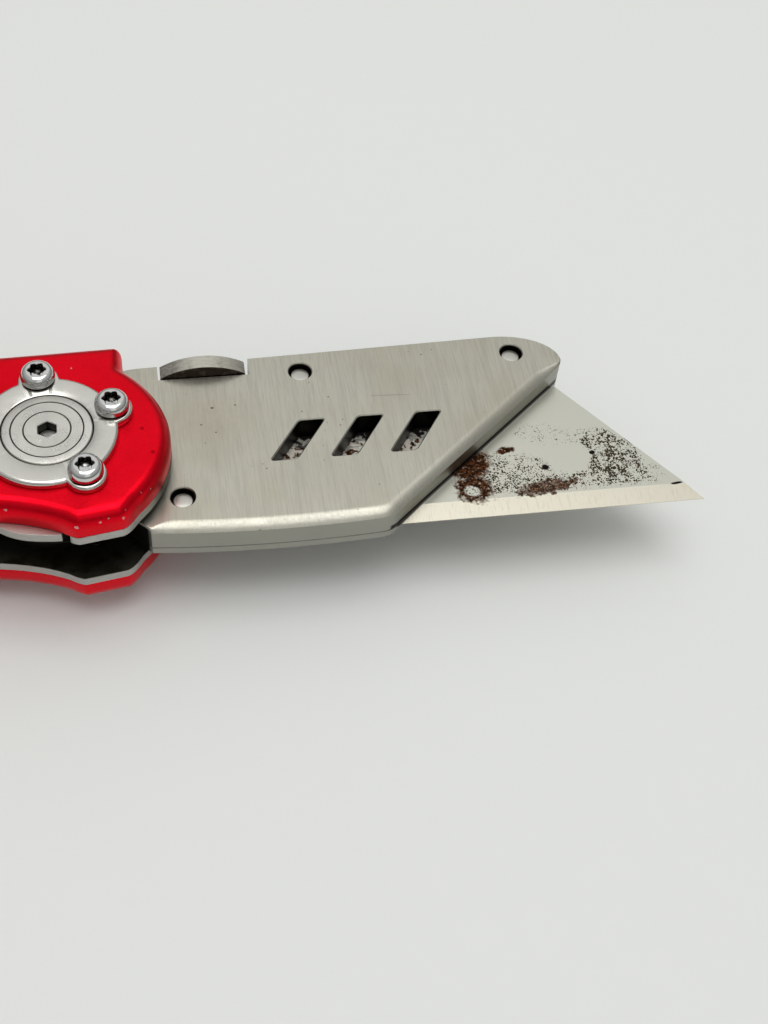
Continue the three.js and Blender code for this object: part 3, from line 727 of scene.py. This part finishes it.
def blade_specks(paint):
    """A mask of dark specks, denser in some patches than in others."""
    cluster = paint.spot(-10.2, 7.6, 4.6, 3.9, -30, 0.9, 0.35)
    low_down = paint.band(paint.y, 2.7, 5.6, 0.8)
    low_band = paint.math("MULTIPLY", low_down, paint.band(paint.x, -26.5, -4.2, 1.5))
    middle = paint.spot(-21.5, 6.3, 4.4, 2.6, 0, 0.9, 0.4)
    round_rust = paint.spot(-25.6, 6.2, 3.9, 3.6, 0, 0.9, 0.4)
    sparse = paint.spot(-17.0, 11.4, 4.6, 1.9, -14, 0.8, 0.4)
    clean = paint.spot(-14.4, 7.7, 2.2, 2.1, 0, 0.5, 0.2)
    shares = [(cluster, 1.0), (low_band, 0.85), (middle, 0.75), (round_rust, 0.8), (sparse, 0.5)]
    density = paint.most(*[paint.math("MULTIPLY", mask, share) for mask, share in shares])
    density = paint.math("MULTIPLY", density, paint.math("SUBTRACT", 1.0, clean))
    patchy = paint.soft(paint.noise(0.9, 4, shift=(5, 2, 0)), 0.30, 0.58, 0.45, 1.0)
    density = paint.math("MULTIPLY", density, patchy)
    sizes = ((2.6, (1, 0.75, 0), 0.44), (4.0, (0.8, 1, 0), 0.50), (5.8, (1, 0.8, 0), 0.46))
    specks = []
    for per_mm, stretch, size in sizes:
        reach = paint.math("MULTIPLY", density, size)
        inside = paint.math("SUBTRACT", reach, paint.dots(per_mm, stretch, (per_mm, 0, 0)))
        specks.append(paint.soft(inside, -0.02, 0.08))
    return paint.most(*specks)


def blade_paint():
    """Bright steel with a ground edge, a rust patch and ring, brown spots, scattered dark specks, and painted
    shade behind the windows and along the holder's front.
    """
    paint = Paint("blade_steel", (0.62, 0.62, 0.545), Specular_IOR_Level=0.08)
    grain = paint.noise(6.0, 3, (1, 0.06, 1))
    border = paint.math("ADD", paint.y, paint.soft(grain, 0.3, 0.7, -0.18, 0.18))
    ground = paint.soft(border, BLADE_GRIND - 0.25, BLADE_GRIND + 0.15, 1.0, 0.0)
    paint.tint(paint.soft(paint.noise(0.25, 3), 0.4, 0.7, 0.0, 0.25), (0.64, 0.59, 0.50))
    paint.tint(ground, (0.62, 0.585, 0.49))
    paint.tint(paint.math("MULTIPLY", ground, paint.soft(grain, 0.52, 0.74, 0.0, 0.5)), (0.45, 0.41, 0.33))
    speck = blade_specks(paint)
    paint.tint(speck, (0.045, 0.034, 0.018))

    # the stretch of the blade behind the holder's windows: painted shade in its upper part, with rust low
    # down
    below = paint.math("MULTIPLY", paint.band(paint.x, -56, -29.5, 0.3), paint.soft(paint.y, 8.0, 8.6))
    edge = paint.math("ADD", paint.y, paint.soft(paint.noise(1.1, 3), 0.3, 0.7, -0.8, 0.8))
    # painted shade where the window's upper wall shades the blade
    window_shade = paint.math("MULTIPLY", below, paint.soft(edge, 12.2, 13.2))
    low_down = paint.math("MULTIPLY", below, paint.band(paint.y, 9, 12.4, 0.4))
    residue = paint.math("MULTIPLY", low_down, paint.soft(paint.noise(0.8, 4, shift=(2, 8, 0)), 0.44, 0.50))
    paint.tint(residue, (0.66, 0.61, 0.53))
    freckled = paint.math("MULTIPLY", low_down, paint.soft(paint.noise(1.3, 5, shift=(3, 1, 0)), 0.52, 0.58))

    ring = paint.math("SUBTRACT", paint.spot(-27.3, 4.0, 2.2, 1.9, -25, 1.2),
                      paint.spot(-27.5, 3.7, 1.0, 0.75, -25, 0.5), clamp=True)
    patch = paint.spot(-27.0, 7.5, 2.6, 2.1, 35, 1.1)
    streak = paint.math("MULTIPLY", paint.spot(-18.6, 3.4, 3.4, 1.05, 8, 2.4), 0.85)
    rust = paint.most(patch, ring, streak, paint.spot(-22.4, 9.4, 1.15, 0.5, 10, 1.3), freckled,
                      paint.spot(-7.3, 11.0, 0.5, 0.4, 0, 0.6))
    rust = paint.math("MULTIPLY", rust, paint.soft(paint.noise(3.5, 4), 0.30, 0.46, 0.45, 1.0))
    paint.tint(rust, (0.105, 0.032, 0.007))
    deep = paint.soft(paint.noise(2.4, 4, shift=(1, 7, 0)), 0.38, 0.58)
    paint.tint(paint.math("MULTIPLY", rust, deep), (0.012, 0.005, 0.002))
    # painted shadow along the holder's slanted front edge
    front = paint.math("SUBTRACT", paint.math("MULTIPLY", paint.y, 1.1675), paint.x)
    contact_shadow = paint.math("MULTIPLY", paint.band(front, 36.5, 37.3, 0.2), 0.9)
    # near black: the painted shadows and a few dark spots
    dark = paint.most(contact_shadow, paint.spot(-18.1, 6.4, 0.42, 0.42, 0, 0.9),
                      paint.spot(-2.8, 2.45, 0.7, 0.17, 5, 0.8),
                      paint.spot(-11.9, 8.1, 0.35, 0.3, 0, 0.9), window_shade)
    paint.tint(dark, (0.008, 0.006, 0.005))
    # rust, specks, residue and painted shade are rough and not bare metal
    coats_and_shade = paint.most(rust, dark, speck, residue)
    paint.bump(paint.math("ADD", grain, paint.math("MULTIPLY", coats_and_shade, 3.0)), 0.006)
    bare = paint.soft(coats_and_shade, 0.0, 0.6, 1.0, 0.0)
    return paint.done(roughness=paint.soft(coats_and_shade, 0.0, 1.0, 0.33, 0.9), metallic=bare)


def nylon_paint():
    paint = Paint("black_nylon", (0.02, 0.02, 0.02))
    paint.tint(paint.soft(paint.noise(1.5, 4), 0.4, 0.7, 0.0, 0.5), (0.05, 0.05, 0.048))
    paint.bump(paint.noise(6, 2), 0.01)
    return paint.done(roughness=paint.soft(paint.noise(2, 3), 0.3, 0.7, 0.5, 0.7))


# ---------- the knife's pieces ----------
def scale(node, holes):
    """A handle scale: the shared outline, its outer edge rolled over, with a collar hole and screw holes."""
    low, high = sorted(abs(corner.z) for corner in plan_box(node))
    outline = handle_outline()
    rings = [(BROKEN, low), (0, low + BROKEN), *rolled(SCALE_INSET, SCALE_DROP, high)]
    loops = [[(p.x, p.y, height) for p in shrunk(outline, width)] for width, height in rings]
    tools = [bore(PIVOT, COLLAR_RADIUS, *OUTWARDS, count=96)]
    tools += [bore(at, SCREW_HOLE, *OUTWARDS, count=32) for at in holes]
    return combined(lofted(loops), tools)


def bezel_reach(lobes):
    """The bezel's outer radius at an angle: a disc with a lobe round each screw, blended into it."""
    def reach(angle):
        widest = BEZEL_RADIUS
        for lobe in lobes:
            turn = math.radians((angle - lobe + 180) % 360 - 180)
            inside = LOBE_RADIUS ** 2 - (LOBE_CIRCLE * math.sin(turn)) ** 2
            if abs(turn) < 1 and inside > 0:
                bump = LOBE_CIRCLE * math.cos(turn) + math.sqrt(inside)
                blend = max(0.0, LOBE_BLEND - abs(widest - bump)) ** 2 / 2.0
                widest = max(widest, bump) + blend
        return widest
    return reach


def bezel(low, high, screws):
    lobes = [math.degrees(math.atan2(y - PIVOT[1], x - PIVOT[0])) for x, y in screws]
    reach = bezel_reach(lobes)
    profile = [(BEZEL_HOLE, low), (lambda a: reach(a) - BROKEN, low), (reach, low + BROKEN)]
    for width, height in rolled(BEZEL_EDGE, BEZEL_EDGE, high, 6):
        profile.append((lambda a, width=width: reach(a) - width, height))
    soft = 0.16
    profile += [(BEZEL_HOLE + soft, high), (BEZEL_HOLE + 0.04, high - 0.05), (BEZEL_HOLE, high - soft)]
    ring = turned(PIVOT, profile, count=288, ring=True)
    return combined(ring, [bore(at, SCREW_HOLE, low - 1, high + 1, count=32) for at in screws])


def hexagon(grow=0.0):
    """The radius of a hexagon socket at an angle, made a little wider by `grow`."""
    def reach(angle):
        return (HEX_FLATS / 2 + grow) / math.cos(math.radians((angle + 30) % 60 - 30))
    return reach


def star(grow=0.0):
    """The radius of a six-lobed socket at an angle, made a little wider by `grow`."""
    def reach(angle):
        return SOCKET_RADIUS + grow + SOCKET_STAR * math.cos(math.radians(6 * angle))
    return reach


def pivot_head(foot, top):
    """The pivot's flat head: an eased rim, two turned grooves and a hexagon socket."""
    profile = [(PIVOT_HEAD, foot)]
    profile += [(PIVOT_HEAD - width, z) for width, z in rolled(PIVOT_RIM, PIVOT_RIM, top, 4)]
    bottom, chamfer = top - GROOVE_DEPTH, 0.07
    for ring in reversed(TURNED_RINGS):
        profile += [(ring + GROOVE, top), (ring + GROOVE_FLOOR, bottom)]
        profile += [(ring - GROOVE_FLOOR, bottom), (ring - GROOVE, top)]
    profile += [(hexagon(chamfer), top), (hexagon(), top - chamfer), (hexagon(), top - HEX_DEPTH)]
    return profile


def pivot_bolt():
    low, high = plan_box("pivot_bolt")
    foot = -low.z
    profile = [(BARREL - BROKEN, low.z), (BARREL, low.z + BROKEN), (BARREL, foot), *pivot_head(foot, high.z)]
    bolt = turned(PIVOT, profile, count=144)
    return combined(bolt, [bore(PIVOT, BARREL_HOLE, low.z - 1, BARREL_FLOOR)])


def pivot_nut():
    low, high = plan_box("pivot_nut")
    profile = [(NUT_BARREL, -high.z), (NUT_BARREL, NUT_FOOT), *pivot_head(NUT_FOOT, -low.z)]
    return mirrored(turned(PIVOT, profile, count=144))


def screw(node):
    """A button-head screw with a six-lobed socket."""
    low, high = plan_box(node)
    rear = low.z + high.z < 0
    end, top = (-high.z, -low.z) if rear else (low.z, high.z)
    seat, floor = top - HEAD_HEIGHT, top - SOCKET_DEPTH
    chamfer, rim, straight = 0.15, 0.3, 0.42
    profile = [(SHANK - chamfer, end), (SHANK, end + chamfer), (SHANK, seat)]
    profile += [(SCREW_FOOT, seat), (SCREW_HEAD, seat + rim)]
    dome = rolled(SCREW_HEAD - SCREW_CROWN, HEAD_HEIGHT - straight, top, 9)
    profile += [(SCREW_HEAD - width, z) for width, z in dome]
    profile += [(star(0.05), top), (star(), top - 0.06), (star(-0.03), floor), (0.35, floor - 0.1)]
    mesh = turned(plan_middle(node), profile, count=96)
    return mirrored(mesh) if rear else mesh


def holder_pin(node):
    """A pin whose peened head lies below the holder's face."""
    low, top, chamfer = plan_box(node)[0].z, PIN_HEAD_TOP, 0.06
    neck = HOLDER_FACE - COUNTERBORE_DEPTH + 0.02
    profile = [(PIN_RADIUS - chamfer, low), (PIN_RADIUS, low + chamfer), (PIN_RADIUS, neck)]
    profile += [(PIN_HEAD, neck + 0.05), (PIN_HEAD, top - 0.12), (PIN_HEAD - 0.08, top - 0.04)]
    profile += [(0.75, top), (0.45, top + 0.03)]
    return turned(plan_middle(node), profile, count=48)


def washer(node):
    low, high = plan_box(node)
    outer, chamfer = (high.x - low.x) / 2, 0.06
    profile = [(BORE, low.z), (outer - chamfer, low.z), (outer, low.z + chamfer)]
    profile += [(outer, high.z - chamfer), (outer - chamfer, high.z), (BORE, high.z)]
    return turned(PIVOT, profile, count=96, ring=True)


def smoothed(values, passes=6):
    """The values round a closed outline, each averaged with its neighbours a few times."""
    for _ in range(passes):
        values = [(values[i - 1] + 2 * v + values[(i + 1) % len(values)]) / 4 for i, v in enumerate(values)]
    return values


def belly_share(point):
    """How far the holder's wide rounding has grown here: full along its belly and slanted front only."""
    belly_end, belly_top = -38.5, 2
    if point.x < belly_end and point.y > belly_top:
        return 0.0
    grown = ramp(point.x, -64.9, -63.6)
    faded = ramp(point.y, 17.8, 20.6)
    return grown * (1 - faded)


def blade_room(low, high):
    """The blade's channel: its outline with a little room round it, open at the front."""
    front, top = 8, BLADE_HEIGHT + BLADE_GAP
    slant = (BLADE_LENGTH - BLADE_BACK) / 2
    back = slant - BLADE_LENGTH - BLADE_END_GAP
    corners = [(-BLADE_LENGTH - BLADE_END_GAP, -BLADE_GAP), (front, -BLADE_GAP), (front, top), (back, top)]
    return prism(corners, low, high)


def lever_room(low, high):
    """The pocket that the release lever's arm and tooth swing in."""
    under_arm = [(-56.4, 22.2), (-53.2, 20.1), (-48.2, 19.25), (-39.2, 19.15)]
    under_tooth = [(-38.4, 17.6), (-35.2, 17.6), (-34.8, 19.1)]
    top = [(-34.8, 23.4), (-51.8, 23.4)]
    return prism(under_arm + under_tooth + top, low, high)


def tab_room(low, high):
    """The notch at the spine that the lever's tab stands in."""
    return box(TAB_LEFT, TAB_RIGHT, TAB_LOW - TAB_NOTCH, PAST_SPINE, low, high)


def pin_bores():
    return [bore(plan_middle(name), PIN_RADIUS + PIN_FIT, *THROUGH) for name in PIN_NAMES]


def holder_plate(low):
    """The holder's front half, eased all round and rolled over along its belly and its slanted front."""
    points = holder_outline()
    share = smoothed([belly_share(p) for p in points])
    rings = [(BROKEN, low), (0, low + BROKEN)]
    steps = 8
    for step in range(steps + 1):
        rise = (1 - step / steps) ** 2
        widths = [(EASED + (EDGE_WIDTH - EASED) * s) * step / steps for s in share]
        heights = [HOLDER_FACE - (EASED + (EDGE_DROP - EASED) * s) * rise for s in share]
        rings.append((widths, heights))
    return plate(points, rings)


def holder_boss(top):
    """The raised stretch of the tang for the lock bar, outside the front washer."""
    outline = Outline(*on_circle(BOSS_START, BOSS_OUTER))
    outline.arc(BOSS_OUTER, BOSS_START, BOSS_END)
    outline.line(*on_circle(BOSS_END, BOSS_INNER))
    outline.arc(BOSS_INNER, BOSS_END, BOSS_START)
    return plate(outline.closed(), [(0, HOLDER_FACE - 0.5), (0, top - BROKEN), (BROKEN, top)])


def holder_body():
    low, high = plan_box("holder_body")
    below = low.z - 1
    body = combined(holder_plate(low.z), [holder_boss(high.z)], "UNION")
    ball = plan_middle("detent_ball")
    rest_of_ball = (2 * PIVOT[0] - ball[0], 2 * PIVOT[1] - ball[1])
    circle = [Vector(on_circle(360 * i / 48, COUNTERBORE, (0, 0))) for i in range(48)]
    wells = [[p + Vector(plan_middle(name)) for p in circle] for name in PIN_NAMES]
    windows = [window_outline(WINDOW_X + WINDOW_PITCH * i) for i in range(WINDOWS)]
    tools = [flared(window, THROUGH[0], HOLDER_FACE, 0.13) for window in windows]
    tools += pin_bores()
    tools += [flared(well, HOLDER_FACE - COUNTERBORE_DEPTH, HOLDER_FACE, 0.1) for well in wells]
    tools += [
        bore(PIVOT, BORE, *THROUGH, count=72),
        bore(rest_of_ball, DIMPLE_RADIUS, HOLDER_FACE - DIMPLE_DEPTH, THROUGH[1], count=32),
        blade_room(below, BLADE_ROOM_TOP),
        lever_room(below, 0),
        tab_room(*THROUGH),
    ]
    return combined(body, tools)


def holder_cover():
    low, high = plan_box("holder_cover")
    rings = [(EASED, low.z), (0, low.z + EASED), (0, high.z - BROKEN), (BROKEN, high.z)]
    rooms = [room(BLADE_ROOM_FLOOR, 1) for room in (blade_room, lever_room, tab_room)]
    tools = [bore(PIVOT, BORE, *THROUGH, count=72), *pin_bores(), *rooms]
    return combined(plate(holder_outline(), rings), tools)


def screws_of(group):
    return [name for name in frame["nodes"] if f"{group}_screw_" in name]


def make_knife():
    """Builds every piece of the knife, with its material."""
    holder = holder_paint([plan_middle(name) for name in PIN_NAMES])
    red, liners, lever, nylon = red_paint(), liner_paint(), lever_paint(), nylon_paint()
    bezel_steel = polished_paint("bezel_steel", (0.66, 0.645, 0.60), 0.15)
    pivot_steel = pivot_paint()
    pins = polished_paint("pin_steel", (0.52, 0.51, 0.47), 0.3)
    dark = plain_steel("dark_steel", (0.16, 0.16, 0.155), 0.38, grain_axis="x")

    for side in ("front", "rear"):
        screws = [name for name in frame["nodes"] if name.startswith(f"{side}_") and "_screw_" in name]
        holes = [plan_middle(name) for name in screws]
        if side == "rear":
            holes += [plan_middle(name) for name in sorted(screws_of("clip"))]
        mesh = scale(f"{side}_scale", holes)
        piece(f"{side}_scale", mirrored(mesh) if side == "rear" else mesh, red)
        bezel_low, bezel_high = sorted(abs(c.z) for c in plan_box(f"{side}_bezel"))
        lobes = [plan_middle(name) for name in screws if "bezel" in name]
        mesh = bezel(bezel_low, bezel_high, lobes)
        piece(f"{side}_bezel", mirrored(mesh) if side == "rear" else mesh, bezel_steel)
        fine_copy(f"{side}_liner", liners, 0.12)
        piece(f"{side}_washer", washer(f"{side}_washer"), nylon)
    for group in ("bezel", "butt", "clip"):
        names = screws_of(group)
        top = max(abs(corner.z) for name in names for corner in plan_box(name))
        sockets = [plan_middle(name) for name in names]
        chrome = polished_paint(f"{group}_screw_steel", (0.66, 0.66, 0.65), 0.08, sockets, top)
        for name in names:
            piece(name, screw(name), chrome)
    piece("pivot_bolt", pivot_bolt(), pivot_steel)
    piece("pivot_nut", pivot_nut(), pivot_steel)
    piece("holder_body", holder_body(), holder)
    piece("holder_cover", holder_cover(), holder)
    for name in PIN_NAMES:
        piece(name, holder_pin(name), pins)
    fine_copy("lock_bar", liners, 0.12)
    fine_copy("release_lever", lever, 0.16)
    fine_copy("pocket_clip", dark, 0.3)
    fine_copy("back_spacer", dark, 0.15)
    fine_copy("stop_pin", pins, 0.1)
    fine_copy("detent_ball", pins, 0.0)
    fine_copy("lever_spring", pins, 0.03)
    shown_as_made("blade", blade_paint())


def shown_as_made(node, material):
    """A CAD node whose shape is right, given a better material."""
    thing = frame["nodes"][node]
    thing.data.materials.clear()
    thing.data.materials.append(material)
    for polygon in thing.data.polygons:
        polygon.use_smooth = False


# ---------- floor, light and camera ----------
def make_floor():
    """A wide pale card that the knife lies on."""
    half = 2.0
    corners = [(-half, -half, 0), (half, -half, 0), (half, half, 0), (-half, half, 0)]
    mesh = bpy.data.meshes.new("floor")
    mesh.from_pydata(corners, [], [(0, 1, 2, 3)])
    floor = bpy.data.objects.new("floor", mesh)
    floor.location.z = cad_low.z - 0.0001
    bpy.context.scene.collection.objects.link(floor)
    paint = Paint("floor_card", (0.80, 0.81, 0.79))
    paint.tint(paint.soft(paint.noise(0.004, 2), 0.3, 0.7, 0.0, 0.3), (0.78, 0.79, 0.78))
    mesh.materials.append(paint.done(roughness=paint.soft(paint.noise(0.3, 2), 0.3, 0.7, 0.75, 0.9)))


def make_light():
    """A pale room, a wide lamp overhead, a wide dim one behind, and a brighter one in front."""
    world = bpy.data.worlds.new("studio")
    bpy.context.scene.world = world
    world.use_nodes = True
    links, nodes = world.node_tree.links, world.node_tree.nodes
    height = nodes.new("ShaderNodeSeparateXYZ")
    links.new(nodes.new("ShaderNodeTexCoord").outputs["Generated"], height.inputs[0])
    fade = nodes.new("ShaderNodeMapRange")
    fade.inputs["From Min"].default_value, fade.inputs["From Max"].default_value = 0.0, 0.75
    fade.inputs["To Min"].default_value, fade.inputs["To Max"].default_value = 0.16, 0.55
    links.new(height.outputs["Z"], fade.inputs["Value"])
    background = nodes["Background"]
    background.inputs["Color"].default_value = (0.98, 0.99, 0.97, 1)
    links.new(fade.outputs[0], background.inputs["Strength"])
    aim = (cad_low + cad_high) / 2
    for name, offset, size, radiance in (
        ("overhead", (0.05, -0.02, 0.90), 0.70, 2.5),
        ("behind", (0.15, 0.62, 0.78), 0.90, 0.28),
        ("front", (0.15, -0.72, 0.56), 0.50, 0.35),
    ):
        data = bpy.data.lights.new(name, "AREA")
        data.shape, data.size = "SQUARE", size
        data.energy = math.pi * size ** 2 * radiance
        lamp = bpy.data.objects.new(name, data)
        lamp.location = aim + Vector(offset)
        lamp.rotation_euler = (-Vector(offset)).to_track_quat("-Z", "Y").to_euler()
        bpy.context.scene.collection.objects.link(lamp)


def make_camera():
    """The camera, placed from the blade's tip and its near face, where right, up and forward are its axes."""
    right, up = Vector((0.98467, -0.15798, 0.07372)), Vector((0.08128, 0.79009, 0.60755))
    forward = Vector((0.1542, 0.5923, -0.7908)).normalized()
    eye = Vector((-64.1, -97.16, plan_box("blade")[1].z + 132.0))
    data = bpy.data.cameras.new("camera")
    data.lens, data.sensor_width = 50.98, 36
    data.clip_start, data.clip_end = 0.005, 20
    camera = bpy.data.objects.new("camera", data)
    rows = Matrix((right, up, -forward)).transposed().to_4x4()
    camera.matrix_world = Matrix.Translation(TO_ROW @ eye) @ rows
    bpy.context.scene.collection.objects.link(camera)
    bpy.context.scene.camera = camera


make_knife()
make_floor()
make_light()
make_camera()
bpy.context.scene.view_settings.view_transform = "Standard"
